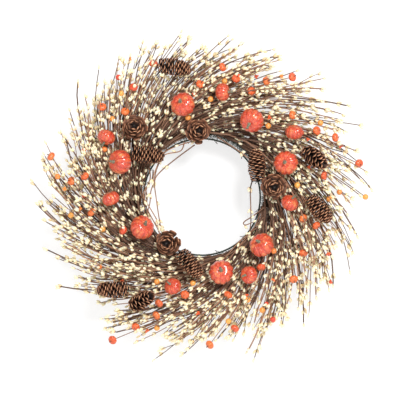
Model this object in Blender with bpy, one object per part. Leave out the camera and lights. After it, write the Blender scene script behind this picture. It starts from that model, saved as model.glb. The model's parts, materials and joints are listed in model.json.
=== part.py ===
"""Harvest door wreath: a two-ring wire frame with a bristle garland, twelve overlapping pip
sprays bound on by one wire, pumpkins, pinecones and berry picks, and a swinging hanging loop.

Metres, +Z up. The wreath hangs in the XZ plane with its front towards -Y. The origin is where
a door hook carries it: under the top of the inner frame ring. Everything is placed about the
wreath's centre, and a parent empty lowers it from there. "Clock" angles run clockwise from the top
as seen from the front, and "reach" runs from 0 on the garland's centre line to 1 at the tips.
"""

import math

import bmesh
import bpy
from mathutils import Vector

# ---------------------------------------------------------------- driving dimensions
WREATH_DIAMETER = 0.610        # over the tips of the longest stems
RING_RADIUS = 0.122            # centre line of the bristle garland
GARLAND_WIDTH = 0.040          # radial width of the garland
GARLAND_DEPTH = 0.014          # from its flat back to its crown
RAIL_DIAMETER = 0.0030         # wire of the two frame rings
RAIL_INSET = 0.0030            # the inner rail's centre, inside the garland's edge
RAIL_SEGMENTS = 40
BRACE_DIAMETER = 0.0024
BRACE_COUNT = 4
GAP = 0.0003                   # between pieces that touch on the real wreath

SPRAY_COUNT = 12
STEM_DIAMETER = 0.0024
PIP_DIAMETER = 0.0044
PIP_LENGTH = 0.008
COLLAR_WIDTH = 0.020           # taped root of a spray, across the bunch
COLLAR_THICKNESS = 0.0050
COLLAR_LENGTH = 0.024
BINDING_DIAMETER = 0.0010

PUMPKIN_DIAMETER = 0.043
SMALL_PUMPKIN_DIAMETER = 0.031
PUMPKIN_FLATNESS = 0.80        # height of the body over its diameter
PUMPKIN_STEM_LENGTH = 0.008
PUMPKIN_STEM_DIAMETER = 0.006
CONE_LENGTH = 0.060
CONE_DIAMETER = 0.032
OPEN_CONE_LENGTH = 0.034       # an open cone that shows its end
OPEN_CONE_DIAMETER = 0.045
MINI_DIAMETER = 0.016
MINI_FLATNESS = 0.70
BERRY_DIAMETER = 0.0105
PICK_WIRE_DIAMETER = 0.0020
BEND_SPACING = 0.050           # radial distance between the bends of a pick's branch
BEND_SAG = 0.0015              # how far a straight run between bends strays from the curve

LOOP_WIRE_DIAMETER = 0.0018
LOOP_WIDTH = 0.020             # between the middles of its two eyes
LOOP_DROP = 0.034              # from the rail to the far end of the loop
LOOP_LEAN = 10.0               # degrees off the wall plane at rest

# ---------------------------------------------------------------- places, chosen by hand
# Stems of a spray: offset across the collar (-1 inner to 1 outer), launch angle from the
# radial direction in degrees, and reach of the tip.
SPRAY_STEMS = (
    (-1.00, 84, 0.50), (-0.67, 80, 0.76), (-0.33, 75, 0.97), (0.00, 70, 1.00),
    (0.33, 64, 1.00), (0.67, 57, 0.99), (1.00, 49, 0.93),
)
TIP_ANGLE = 36                 # angle from the radial direction at every tip
PICK_LAUNCH = 64               # and the same at the root of a pick's branch

# Pumpkins: clock, reach, size, then where the stem points: clock and tilt off the front.
PUMPKINS = (
    (348, 0.24, "large", 320, 25), (11, 0.36, "small", 90, 75), (33, 0.21, "large", 215, 35),
    (68, 0.20, "large", 300, 12), (55, 0.42, "small", 180, 110), (293, 0.19, "large", 270, 45),
    (302, 0.42, "small", 200, 70), (269, 0.21, "small", 160, 100), (243, -0.02, "large", 45, 35),
    (198, 0.24, "small", 315, 40), (166, 0.08, "large", 0, 15), (149, 0.21, "small", 270, 40),
    (129, 0.07, "large", 320, 35), (94, 0.18, "small", 30, 60),
)
# Pinecones: clock, reach, kind, then the clock direction of the tip and its tilt off the front,
# and how far the cone is lifted over a neighbour that it lies on.
PINECONES = (
    (348, 0.61, "closed", 97, 90, 0), (316, 0.27, "open", 0, 8, 0),
    (308, -0.01, "closed", 98, 90, 0), (357, -0.03, "open", 90, 8, 0),
    (60, -0.06, "closed", 355, 90, 0), (82, 0.03, "open", 180, 8, 0.013),
    (71, 0.48, "closed", 130, 50, 0), (96, 0.47, "closed", 140, 90, 0),
    (217, -0.11, "open", 250, 10, 0), (190, -0.01, "closed", 140, 90, 0),
    (224, 0.57, "closed", 268, 90, 0), (210, 0.48, "closed", 60, 45, 0),
)
# Fruits on the picks: clock, reach, kind.
FRUITS = (
    (340, 0.70, "mini"), (328, 0.58, "mini"), (312, 0.63, "mini"), (285, 0.84, "mini"),
    (280, 0.48, "mini"), (277, 0.60, "mini"), (318, 0.44, "mini"), (359, 0.42, "mini"),
    (9, 0.60, "mini"), (16, 0.52, "mini"), (29, 0.61, "mini"), (37, 0.78, "mini"),
    (25, 0.46, "mini"), (48, 0.51, "mini"), (60, 0.61, "mini"), (66, 0.74, "mini"),
    (78, 0.88, "mini"), (80, 0.53, "mini"), (262, 0.41, "mini"), (247, 0.16, "mini"),
    (202, 0.44, "mini"), (201, 0.56, "mini"), (207, 0.74, "mini"), (212, 0.96, "mini"),
    (190, 0.29, "mini"), (102, 0.33, "mini"), (104, 0.47, "mini"), (119, 0.45, "mini"),
    (140, 0.22, "mini"), (132, 0.52, "mini"), (165, 0.31, "mini"), (166, 0.64, "mini"),
    (177, 0.76, "mini"),
    (325, 0.74, "berry"), (322, 0.60, "berry"), (311, 0.48, "berry"), (278, 0.74, "berry"),
    (296, 0.38, "berry"), (350, 0.11, "berry"), (11, 0.47, "berry"), (5, 0.28, "berry"),
    (43, 0.27, "berry"), (58, 0.68, "berry"), (83, 0.26, "berry"), (90, 0.91, "berry"),
    (91, 0.56, "berry"), (88, 0.66, "berry"), (262, 0.61, "berry"), (252, 0.34, "berry"),
    (208, 0.26, "berry"), (199, 0.67, "berry"), (186, 0.17, "berry"), (127, 0.20, "berry"),
    (156, 0.42, "berry"), (152, 0.57, "berry"), (168, 0.56, "berry"), (150, 0.70, "berry"),
)

# ---------------------------------------------------------------- derived sizes
TIP_RADIUS = WREATH_DIAMETER / 2
RAIL_RADIUS = RAIL_DIAMETER / 2
INNER_RAIL = RING_RADIUS - GARLAND_WIDTH / 2 + RAIL_INSET
GARLAND_EDGE = RING_RADIUS + GARLAND_WIDTH / 2
# The rail bends away from the loop's hinge axis by this much at the loop's eyes.
EYE_SAG = (LOOP_WIDTH / 2 + LOOP_WIRE_DIAMETER) ** 2 / (2 * GARLAND_EDGE)
EYE_RADIUS = RAIL_RADIUS + EYE_SAG + 2 * GAP + LOOP_WIRE_DIAMETER / 2
OUTER_RAIL = GARLAND_EDGE + EYE_RADIUS + LOOP_WIRE_DIAMETER / 2 + 3 * GAP
# A side of the rail's polygon is level at the top, and the loop hinges on it.
HINGE_HEIGHT = OUTER_RAIL * math.cos(math.pi / RAIL_SEGMENTS)
HOOK_HEIGHT = INNER_RAIL * math.cos(math.pi / RAIL_SEGMENTS) - RAIL_RADIUS
GARLAND_BACK = RAIL_RADIUS + GAP
GARLAND_FRONT = GARLAND_BACK + GARLAND_DEPTH
COLLAR_DEPTH = GARLAND_FRONT + GAP + COLLAR_THICKNESS / 2
# A spray climbs this much by the next root, so it clears that root and the wire round it.
LIFT = COLLAR_THICKNESS / 2 + BINDING_DIAMETER + STEM_DIAMETER / 2 + 3 * GAP
LIFT = max(LIFT, PIP_DIAMETER + 2 * GAP)
SPRAY_PITCH = math.tau / SPRAY_COUNT
COLOURS = {
    "wire": (0.10, 0.09, 0.08, 0.45, 0.9), "bristle": (0.02, 0.05, 0.025, 0.8, 0.0),
    "twig": (0.16, 0.08, 0.05, 0.8, 0.0), "pumpkin": (0.80, 0.10, 0.03, 0.4, 0.0),
    "cone": (0.22, 0.08, 0.04, 0.75, 0.0), "fruit": (0.85, 0.22, 0.04, 0.35, 0.0),
}


# ---------------------------------------------------------------- helpers
def clear_scene():
    for obj in list(bpy.data.objects):
        bpy.data.objects.remove(obj, do_unlink=True)


def make_material(name, red, green, blue, roughness, metallic):
    material = bpy.data.materials.new(name)
    material.use_nodes = True
    shader = material.node_tree.nodes["Principled BSDF"]
    shader.inputs["Base Color"].default_value = (red, green, blue, 1)
    shader.inputs["Roughness"].default_value = roughness
    shader.inputs["Metallic"].default_value = metallic
    return material


def make_object(name, bm, material, parent):
    """Close a bmesh into a named, smooth-shaded object under the given parent."""
    bmesh.ops.recalc_face_normals(bm, faces=bm.faces)
    mesh = bpy.data.meshes.new(name)
    bm.to_mesh(mesh)
    bm.free()
    mesh.materials.append(material)
    mesh.shade_smooth()
    mesh.set_sharp_from_angle(angle=math.radians(50))
    obj = bpy.data.objects.new(name, mesh)
    obj.parent = parent
    bpy.context.collection.objects.link(obj)
    return obj


def clock_point(clock, radius, depth):
    """A point at a clock angle in radians, in front of the frame plane by depth."""
    return Vector((radius * math.sin(clock), -depth, radius * math.cos(clock)))


def spray_root(number):
    """Clock angle of a spray's root; none is at the top, where the loop hangs."""
    return (number + 0.5) * SPRAY_PITCH


def reach_radius(reach):
    return RING_RADIUS + reach * (TIP_RADIUS - RING_RADIUS)


def add_tube(bm, points, radii, sides, closed=False, up=Vector((0, -1, 0)), flat=1.0):
    """Loft a tube along points. flat scales its thickness along up."""
    count = len(points)
    rings = []
    for index, point in enumerate(points):
        before = points[index - 1] if index or closed else point
        after = points[(index + 1) % count] if index < count - 1 or closed else point
        along = (after - before).normalized()
        side = along.cross(up)
        if side.length < 0.01:
            side = along.cross(Vector((1, 0, 0)))
        side.normalize()
        over = side.cross(along)
        ring = []
        for corner in range(sides):
            turn = math.tau * (corner + 0.5) / sides
            offset = side * math.cos(turn) + over * math.sin(turn) * flat
            ring.append(bm.verts.new(point + offset * radii[index]))
        rings.append(ring)
    for index in range(count if closed else count - 1):
        ring, after = rings[index], rings[(index + 1) % count]
        for corner in range(sides):
            around = (corner + 1) % sides
            bm.faces.new((ring[corner], ring[around], after[around], after[corner]))
    if not closed:
        bm.faces.new(list(reversed(rings[0])))
        bm.faces.new(rings[-1])


def add_turned(bm, profile, centre, axis, sides, flute=0.0):
    """Turn (radius, height) points about an axis; the two ends are poles. flute dents the
    surface once every two sides."""
    spin = axis.to_track_quat("Z", "Y")
    poles = [bm.verts.new(centre + spin @ Vector((0, 0, profile[end][1]))) for end in (0, -1)]
    rings = []
    for radius, height in profile[1:-1]:
        ring = []
        for corner in range(sides):
            turn = math.tau * corner / sides
            spread = radius * (1 - flute * (corner % 2))
            local = Vector((spread * math.cos(turn), spread * math.sin(turn), height))
            ring.append(bm.verts.new(centre + spin @ local))
        rings.append(ring)
    for corner in range(sides):
        around = (corner + 1) % sides
        bm.faces.new((poles[0], rings[0][around], rings[0][corner]))
        for ring, after in zip(rings, rings[1:]):
            bm.faces.new((ring[corner], ring[around], after[around], after[corner]))
        bm.faces.new((poles[1], rings[-1][corner], rings[-1][around]))


def union_shells(bm):
    """Union the overlapping closed shells of a bmesh into one body."""
    bmesh.ops.recalc_face_normals(bm, faces=bm.faces)
    mesh = bpy.data.meshes.new("shells")
    bm.to_mesh(mesh)
    bm.free()
    shells = bpy.data.objects.new("shells", mesh)
    far_mesh = bpy.data.meshes.new("far")
    far = bpy.data.objects.new("far", far_mesh)
    for obj in (shells, far):
        bpy.context.collection.objects.link(obj)
    join = shells.modifiers.new("join", "BOOLEAN")
    join.operation = "UNION"
    join.solver = "EXACT"
    join.use_self = True
    join.object = far
    bpy.context.view_layer.update()
    graph = bpy.context.evaluated_depsgraph_get()
    joined = bmesh.new()
    joined.from_mesh(shells.evaluated_get(graph).to_mesh())
    bmesh.ops.remove_doubles(joined, verts=joined.verts, dist=1e-6)
    bmesh.ops.dissolve_degenerate(joined, edges=joined.edges, dist=1e-6)
    for obj in (shells, far):
        bpy.data.objects.remove(obj, do_unlink=True)
    return joined


# ---------------------------------------------------------------- frame, garland and wire
def make_ring(name, radius, material, parent, sides=6):
    bm = bmesh.new()
    turn = math.tau / RAIL_SEGMENTS
    points = [clock_point(turn * (step + 0.5), radius, 0) for step in range(RAIL_SEGMENTS)]
    add_tube(bm, points, [RAIL_RADIUS] * RAIL_SEGMENTS, sides, closed=True)
    make_object(name, bm, material, parent)


def make_braces(material, parent):
    reach = RAIL_RADIUS + GAP
    # The middle of a side of the outer rail's polygon lies nearer in than its corners.
    outer_side = OUTER_RAIL * math.cos(math.pi / RAIL_SEGMENTS)
    for number in range(BRACE_COUNT):
        clock = math.tau * (number + 0.5) / BRACE_COUNT
        bm = bmesh.new()
        ends = [clock_point(clock, INNER_RAIL + reach, 0), clock_point(clock, outer_side - reach, 0)]
        add_tube(bm, ends, [BRACE_DIAMETER / 2] * 2, 6)
        make_object(f"cross_brace_{number + 1}", bm, material, parent)


def make_garland(material, parent, segments=40, arc_steps=6):
    """A half-round ring, flat at the back where it lies on the two rails."""
    bm = bmesh.new()
    rings = []
    for segment in range(segments):
        clock = math.tau * segment / segments
        ring = []
        for step in range(arc_steps + 1):
            turn = math.pi * step / arc_steps
            radius = RING_RADIUS - GARLAND_WIDTH / 2 * math.cos(turn)
            depth = GARLAND_BACK + GARLAND_DEPTH * math.sin(turn)
            ring.append(bm.verts.new(clock_point(clock, radius, depth)))
        rings.append(ring)
    for segment in range(segments):
        ring, after = rings[segment], rings[(segment + 1) % segments]
        for step in range(arc_steps + 1):
            around = (step + 1) % (arc_steps + 1)
            bm.faces.new((ring[step], ring[around], after[around], after[step]))
    make_object("bristle_base", bm, material, parent)


def make_binding_wire(material, parent):
    """One closed wire: over each root at the front, then along the back to the next root."""
    clear = GAP + BINDING_DIAMETER / 2
    inner = RING_RADIUS - GARLAND_WIDTH / 2 - 2 * clear
    outer = OUTER_RAIL + RAIL_RADIUS + 2 * clear
    front = COLLAR_DEPTH + COLLAR_THICKNESS / 2 + clear
    shoulder = GARLAND_BACK + GARLAND_DEPTH / 2
    back = -(RAIL_RADIUS + clear)
    flat = COLLAR_WIDTH / 2 + clear
    points = []
    for spray in range(SPRAY_COUNT):
        clock = spray_root(spray)
        points.append(clock_point(clock, inner, back))
        points.append(clock_point(clock, inner, shoulder))
        points.append(clock_point(clock, RING_RADIUS - flat, front))
        points.append(clock_point(clock, RING_RADIUS + flat, front))
        points.append(clock_point(clock, outer, shoulder))
        points.append(clock_point(clock, outer, back))
        points.append(clock_point(clock + SPRAY_PITCH / 2, RING_RADIUS, back))
    bm = bmesh.new()
    add_tube(bm, points, [BINDING_DIAMETER / 2] * len(points), 4, closed=True,
             up=Vector((0.3, 0.8, 0.52)))
    make_object("binding_wire", bm, material, parent)


def make_hanging_loop(material, parent):
    """A wire bail that swings on the outer rail at the top: an eye at each end, and a bend."""
    wire = LOOP_WIRE_DIAMETER / 2
    half = LOOP_WIDTH / 2
    lean = math.radians(LOOP_LEAN)
    down = Vector((0, math.sin(lean), -math.cos(lean)))
    away = Vector((0, math.cos(lean), math.sin(lean)))
    bm = bmesh.new()
    for side in (-half, half):
        ring = []
        for step in range(10):
            turn = math.tau * step / 10
            ring.append(Vector((side, EYE_RADIUS * math.cos(turn), EYE_RADIUS * math.sin(turn))))
        add_tube(bm, ring, [wire] * 10, 5, closed=True, up=Vector((1, 0, 0)))
    start = away * EYE_RADIUS
    bend = LOOP_DROP - half
    path = [Vector((-half, 0, 0)) + start, Vector((-half, 0, 0)) + start + down * bend]
    for step in range(1, 8):
        turn = math.pi * step / 8
        path.append(Vector((-half * math.cos(turn), 0, 0)) + start
                    + down * (bend + half * math.sin(turn)))
    path.append(Vector((half, 0, 0)) + start + down * bend)
    path.append(Vector((half, 0, 0)) + start)
    add_tube(bm, path, [wire] * len(path), 6)
    obj = make_object("hanging_loop", union_shells(bm), material, parent)
    obj.location = (0, 0, HINGE_HEIGHT)


# ---------------------------------------------------------------- sprays
def stem_path(start_radius, launch, tip_reach, steps=60):
    """Clock advance and radius along one stem, which leaves at the launch angle from the
    radial direction and straightens evenly to TIP_ANGLE at its tip."""
    first, last = math.radians(launch), math.radians(TIP_ANGLE)
    mean_outward = (math.sin(first) - math.sin(last)) / (first - last)
    length = (reach_radius(tip_reach) - start_radius) / mean_outward
    clock, radius = 0.0, start_radius
    path = [(clock, radius)]
    for step in range(steps):
        angle = first + (last - first) * (step + 0.5) / steps
        radius += math.cos(angle) * length / steps
        clock += math.sin(angle) * length / steps / radius
        path.append((clock, radius))
    return path, length


def spray_depth(advance):
    """Depth of a spray's layer at a clock advance past its own root."""
    return COLLAR_DEPTH + LIFT * advance / SPRAY_PITCH


def make_spray(number, material, parent, bends=4):
    root = spray_root(number)
    bm = bmesh.new()
    half_turn = COLLAR_LENGTH / 2 / RING_RADIUS
    collar = [clock_point(root + half_turn * end, RING_RADIUS, COLLAR_DEPTH) for end in (-1, 0, 1)]
    add_tube(bm, collar, [COLLAR_WIDTH / 2] * 3, 8, flat=COLLAR_THICKNESS / COLLAR_WIDTH)
    spread = COLLAR_WIDTH / 2 - STEM_DIAMETER
    for across, launch, tip_reach in SPRAY_STEMS:
        path, length = stem_path(RING_RADIUS + across * spread, launch, tip_reach)
        last = len(path) - 1
        pip = 1 - PIP_LENGTH / length
        marks = [pip * bend / bends for bend in range(bends + 1)] + [(1 + pip) / 2, 1]
        points = []
        for mark in marks:
            clock, radius = path[round(mark * last)]
            if mark > pip:
                clock, radius = path[last]
            points.append(clock_point(root + clock, radius, spray_depth(clock)))
        along = (points[-1] - points[bends]).normalized()
        tip = points[-1]
        points[bends] = tip - along * PIP_LENGTH
        points[bends + 1] = tip - along * PIP_LENGTH * 0.45
        stem = STEM_DIAMETER / 2
        radii = [stem] * (bends + 1) + [PIP_DIAMETER / 2, stem * 0.5]
        add_tube(bm, points, radii, 3)
    make_object(f"pip_spray_{number + 1:02d}", union_shells(bm), material, parent)


def top_of_sprays():
    """Depth of the foremost point of any spray."""
    advances = []
    spread = COLLAR_WIDTH / 2 - STEM_DIAMETER
    for across, launch, tip_reach in SPRAY_STEMS:
        path, _ = stem_path(RING_RADIUS + across * spread, launch, tip_reach)
        advances.append(path[-1][0])
    return spray_depth(max(advances)) + PIP_DIAMETER / 2


# ---------------------------------------------------------------- decoration
def direction(clock_deg, tilt_deg):
    """A unit vector: tilt 0 faces the front, tilt 90 lies along the clock direction."""
    clock, tilt = math.radians(clock_deg), math.radians(tilt_deg)
    return Vector((math.sin(clock) * math.sin(tilt), -math.cos(tilt),
                   math.cos(clock) * math.sin(tilt)))


def half_depth(equator, pole, axis):
    """How far an ellipsoid with the given axis reaches towards the front."""
    across = 1 - axis.y ** 2
    return math.sqrt(equator ** 2 * across + pole ** 2 * axis.y ** 2)


def plan_items():
    """Every pumpkin, pinecone and fruit with its place, as spheres that must not meet."""
    floor = top_of_sprays() + PICK_WIRE_DIAMETER + 3 * GAP
    items = []
    for clock, reach, size, stem_clock, tilt in PUMPKINS:
        radius = (PUMPKIN_DIAMETER if size == "large" else SMALL_PUMPKIN_DIAMETER) / 2
        axis = direction(stem_clock, tilt)
        depth = floor + half_depth(radius, radius * PUMPKIN_FLATNESS, axis)
        item = {"kind": "pumpkin", "radius": radius, "axis": axis, "depth": depth}
        stem_tip = axis * (radius * PUMPKIN_FLATNESS + PUMPKIN_STEM_LENGTH * 0.7)
        item["spheres"] = [(Vector(), radius), (stem_tip, PUMPKIN_STEM_DIAMETER / 2)]
        items.append((clock, reach, item))
    for clock, reach, kind, tip_clock, tilt, lift in PINECONES:
        radius, length = CONE_DIAMETER / 2, CONE_LENGTH
        if kind == "open":
            radius, length = OPEN_CONE_DIAMETER / 2, OPEN_CONE_LENGTH
        axis = direction(tip_clock, tilt)
        depth = floor + half_depth(radius, length / 2, axis) + lift
        item = {"kind": "pinecone", "radius": radius, "length": length, "axis": axis,
                "depth": depth}
        fat = min(radius, length / 2)
        item["spheres"] = [(axis * length * -0.22, fat), (axis * (length / 2 - radius / 2),
                                                          radius / 2)]
        if kind == "open":
            item["spheres"] = [(Vector(), radius)]
        items.append((clock, reach, item))
    for clock, reach, kind in FRUITS:
        radius = (MINI_DIAMETER if kind == "mini" else BERRY_DIAMETER) / 2
        item = {"kind": kind, "radius": radius, "axis": direction(clock + 40, 60),
                "depth": floor + radius, "spheres": [(Vector(), radius)]}
        items.append((clock, reach, item))
    planned = []
    for clock, reach, item in items:
        item["centre"] = clock_point(math.radians(clock), reach_radius(reach), item["depth"])
        planned.append(item)
    spread_apart(planned)
    return planned


def spread_apart(items, rounds=200):
    """Nudge items along the wreath's face until no two of them meet."""
    inner_limit = RING_RADIUS - GARLAND_WIDTH / 2
    for _ in range(rounds):
        moved = 0.0
        for index, one in enumerate(items):
            for other in items[index + 1:]:
                for offset_a, radius_a in one["spheres"]:
                    for offset_b, radius_b in other["spheres"]:
                        between = other["centre"] + offset_b - one["centre"] - offset_a
                        short = radius_a + radius_b + 2 * GAP - between.length
                        if short <= 0:
                            continue
                        flat = Vector((between.x, 0, between.z)).normalized()
                        share = other["radius"] / (one["radius"] + other["radius"])
                        one["centre"] -= flat * (short + GAP) * share
                        other["centre"] += flat * (short + GAP) * (1 - share)
                        moved = max(moved, short)
        for item in items:
            outward = Vector((item["centre"].x, 0, item["centre"].z))
            short = inner_limit - outward.length
            if short > 0:
                item["centre"] += outward.normalized() * short
        if moved == 0:
            return


def make_pumpkin(number, item, material, parent):
    """A squat ribbed body with a short stem."""
    radius = item["radius"]
    pole = radius * PUMPKIN_FLATNESS
    profile = [(0, -pole * 0.93)]
    for angle in (-58, -20, 20, 55):
        turn = math.radians(angle)
        profile.append((radius * math.cos(turn), pole * math.sin(turn)))
    profile.append((0, pole * 0.90))
    bm = bmesh.new()
    add_turned(bm, profile, item["centre"], item["axis"], 14, flute=0.05)
    foot = item["centre"] + item["axis"] * pole * 0.6
    tip = item["centre"] + item["axis"] * (pole * 0.9 + PUMPKIN_STEM_LENGTH)
    lean = item["axis"].orthogonal().normalized() * PUMPKIN_STEM_LENGTH * 0.15
    stem = PUMPKIN_STEM_DIAMETER / 2
    add_tube(bm, [foot, (foot + tip) / 2, tip + lean], [stem, stem * 0.8, stem * 0.7], 6,
             up=item["axis"].orthogonal())
    make_object(f"pumpkin_{number:02d}", union_shells(bm), material, parent)


def make_pinecone(number, item, material, parent):
    """The outer shape over the scales: broad near the base, narrow at the tip."""
    radius, length = item["radius"], item["length"]
    profile = [(0, -length / 2)]
    for height, share in ((-0.40, 0.70), (-0.20, 1.0), (0.05, 0.93), (0.28, 0.66), (0.43, 0.34)):
        profile.append((radius * share, length * height))
    profile.append((0, length / 2))
    bm = bmesh.new()
    add_turned(bm, profile, item["centre"], item["axis"], 10, flute=0.08)
    make_object(f"pinecone_{number:02d}", bm, material, parent)


# ---------------------------------------------------------------- picks
def pick_line(radius):
    """Clock advance from the garland's centre line out to a radius, on a pick wire's curve."""
    path, _ = stem_path(RING_RADIUS, PICK_LAUNCH, 1.0)
    for (clock_a, radius_a), (clock_b, radius_b) in zip(path, path[1:]):
        if radius_b >= radius:
            share = (radius - radius_a) / (radius_b - radius_a)
            return clock_a + (clock_b - clock_a) * share
    return path[-1][0]


def group_fruits(fruits, groups):
    """Sort fruits by the clock of their wire's root and cut them into even groups, each cut
    at the widest gap near its place."""
    rooted = []
    for fruit in fruits:
        centre = fruit["centre"]
        radius = math.hypot(centre.x, centre.z)
        root = (math.atan2(centre.x, centre.z) - pick_line(radius)) % math.tau
        rooted.append((root, radius, fruit))
    rooted.sort(key=lambda entry: entry[0])
    count = len(rooted)
    gaps = []
    for index in range(count):
        after = rooted[(index + 1) % count][0] + (math.tau if index == count - 1 else 0)
        gaps.append(after - rooted[index][0])
    # Side by side branches leave the centre line this far apart to clear each other.
    apart = PICK_WIRE_DIAMETER + BEND_SAG + GAP
    least_gap = apart / (RING_RADIUS * math.cos(math.radians(PICK_LAUNCH)))
    cuts = []
    for group in range(groups):
        middle = round(count * (group + 0.5) / groups)
        for window in (1, 2):
            nearby = range(middle - window, middle + window + 1)
            cut = max(nearby, key=lambda index: gaps[index % count])
            if gaps[cut % count] > least_gap:
                break
        cuts.append(cut)
    picks = []
    for cut, after in zip(cuts, cuts[1:] + [cuts[0] + count]):
        members = []
        for index in range(cut + 1, after + 1):
            root, radius, fruit = rooted[index % count]
            members.append((root + (math.tau if index >= count else 0), radius, fruit))
        picks.append(members)
    return picks


def make_pick(number, members, layer, material, parent):
    """A wire that branches along the wreath's sweep, with a fruit on the end of each branch."""
    wire = PICK_WIRE_DIAMETER / 2
    bm = bmesh.new()
    first, last = members[0][0], members[-1][0]
    margin = wire / RING_RADIUS
    steps = max(2, math.ceil((last - first) / math.radians(6)) + 1)
    spine = []
    for step in range(steps):
        clock = first - margin + (last - first + 2 * margin) * step / (steps - 1)
        spine.append(clock_point(clock, RING_RADIUS, layer))
    add_tube(bm, spine, [wire] * steps, 4)
    for root, radius, fruit in members:
        inward = radius < RING_RADIUS
        points = []
        bends = 1 if inward else max(2, math.ceil((radius - RING_RADIUS) / BEND_SPACING))
        for bend in range(bends):
            share = RING_RADIUS + (radius - RING_RADIUS) * bend / bends
            points.append(clock_point(root + pick_line(share), share, layer))
        end = fruit["centre"].copy()
        points.append(Vector((end.x, -layer, end.z)))
        points[-1] = points[-2] + (points[-1] - points[-2]) * 0.97
        points.append(end)
        add_tube(bm, points, [wire * 0.97] * len(points), 3)
        if fruit["kind"] == "mini":
            add_mini(bm, fruit)
        else:
            ball = bmesh.ops.create_icosphere(bm, subdivisions=1, radius=fruit["radius"])
            bmesh.ops.translate(bm, verts=ball["verts"], vec=end)
    make_object(f"berry_pick_{number:02d}", union_shells(bm), material, parent)


def add_mini(bm, fruit):
    radius = fruit["radius"]
    pole = radius * MINI_FLATNESS
    profile = [(0, -pole), (radius * 0.85, -pole * 0.5), (radius * 0.85, pole * 0.5), (0, pole)]
    add_turned(bm, profile, fruit["centre"], fruit["axis"], 6)


# ---------------------------------------------------------------- assembly
def main():
    clear_scene()
    materials = {name: make_material(name, *values) for name, values in COLOURS.items()}
    wreath = bpy.data.objects.new("wreath", None)
    wreath.location = (0, 0, -HOOK_HEIGHT)
    bpy.context.collection.objects.link(wreath)
    make_ring("inner_rail", INNER_RAIL, materials["wire"], wreath)
    make_ring("outer_rail", OUTER_RAIL, materials["wire"], wreath)
    make_braces(materials["wire"], wreath)
    make_garland(materials["bristle"], wreath)
    make_binding_wire(materials["wire"], wreath)
    make_hanging_loop(materials["wire"], wreath)
    for number in range(SPRAY_COUNT):
        make_spray(number, materials["twig"], wreath)
    items = plan_items()
    makers = {"pumpkin": (make_pumpkin, materials["pumpkin"]),
              "pinecone": (make_pinecone, materials["cone"])}
    for kind, (maker, material) in makers.items():
        chosen = [item for item in items if item["kind"] == kind]
        for number, item in enumerate(chosen, start=1):
            maker(number, item, material, wreath)
    fruits = [item for item in items if item["kind"] in ("mini", "berry")]
    layer = top_of_sprays() + GAP + PICK_WIRE_DIAMETER / 2
    picks = group_fruits(fruits, SPRAY_COUNT)
    for number, members in enumerate(picks, start=1):
        make_pick(number, members, layer, materials["fruit"], wreath)


main()
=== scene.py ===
"""Looks of the harvest door wreath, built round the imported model.

Metres, in the model's own frame: +Z up, the front towards -Y. "Clock" angles run clockwise from
the top as seen from the front. "Reach" runs from 0 on the garland's centre line to 1 at the
tips, and "depth" is how far a point stands in front of the plane of the frame rings.
"""

import json
import random
from math import copysign, cos, degrees, exp, hypot, pi, radians, sin, sqrt, tau

import bpy
import numpy as np
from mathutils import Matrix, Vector, noise


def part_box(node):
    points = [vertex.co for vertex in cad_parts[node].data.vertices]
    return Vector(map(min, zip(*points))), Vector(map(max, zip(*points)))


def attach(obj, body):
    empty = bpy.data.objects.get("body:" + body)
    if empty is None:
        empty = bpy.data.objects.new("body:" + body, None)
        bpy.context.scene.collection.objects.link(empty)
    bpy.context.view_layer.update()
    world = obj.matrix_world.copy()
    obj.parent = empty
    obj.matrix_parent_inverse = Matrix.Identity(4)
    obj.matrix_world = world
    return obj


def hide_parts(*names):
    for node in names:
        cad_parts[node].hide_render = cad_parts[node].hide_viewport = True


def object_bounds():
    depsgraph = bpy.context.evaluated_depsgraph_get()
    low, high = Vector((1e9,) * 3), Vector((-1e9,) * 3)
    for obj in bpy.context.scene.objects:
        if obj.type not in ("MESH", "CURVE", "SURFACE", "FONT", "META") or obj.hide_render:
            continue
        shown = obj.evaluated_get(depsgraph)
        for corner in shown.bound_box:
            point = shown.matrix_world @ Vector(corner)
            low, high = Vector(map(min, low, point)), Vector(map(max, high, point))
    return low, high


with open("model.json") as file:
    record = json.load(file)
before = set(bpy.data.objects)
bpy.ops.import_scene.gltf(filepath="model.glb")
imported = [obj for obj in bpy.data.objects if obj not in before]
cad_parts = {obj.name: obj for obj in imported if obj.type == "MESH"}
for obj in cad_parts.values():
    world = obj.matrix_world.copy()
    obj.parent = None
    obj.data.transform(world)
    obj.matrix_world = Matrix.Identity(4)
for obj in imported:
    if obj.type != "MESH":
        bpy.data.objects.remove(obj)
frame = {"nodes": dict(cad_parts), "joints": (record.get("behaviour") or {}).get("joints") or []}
CAD_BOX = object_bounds()

# ---- sizes read from the frame
GARLAND_WIDTH = 0.040
garland_low, garland_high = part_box("bristle_base")
spray_low, spray_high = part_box("pip_spray_01")
CENTRE = Vector(((garland_low.x + garland_high.x) / 2, 0, (garland_low.z + garland_high.z) / 2))
RING_RADIUS = (garland_high.x - garland_low.x) / 2 - GARLAND_WIDTH / 2
TIP_RADIUS = (CAD_BOX[1].x - CAD_BOX[0].x) / 2
GARLAND_BACK, GARLAND_FRONT = -garland_high.y, -garland_low.y
SPRAY_BACK, SPRAY_FRONT = -spray_high.y, -spray_low.y
SPRAY_COUNT = 12
SPRAY_PITCH = tau / SPRAY_COUNT
GOLDEN_ANGLE = pi * (3 - sqrt(5))
FRONT = Vector((0, -1, 0))

# ---- how things are turned
# Pumpkins: where each stem points, as a clock angle and a tilt off the front in degrees.
PUMPKIN_TURNS = (
    (320, 25), (90, 75), (215, 35), (300, 12), (180, 110), (270, 45), (200, 70),
    (160, 100), (45, 35), (315, 40), (0, 15), (270, 40), (320, 35), (30, 60),
)
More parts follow.
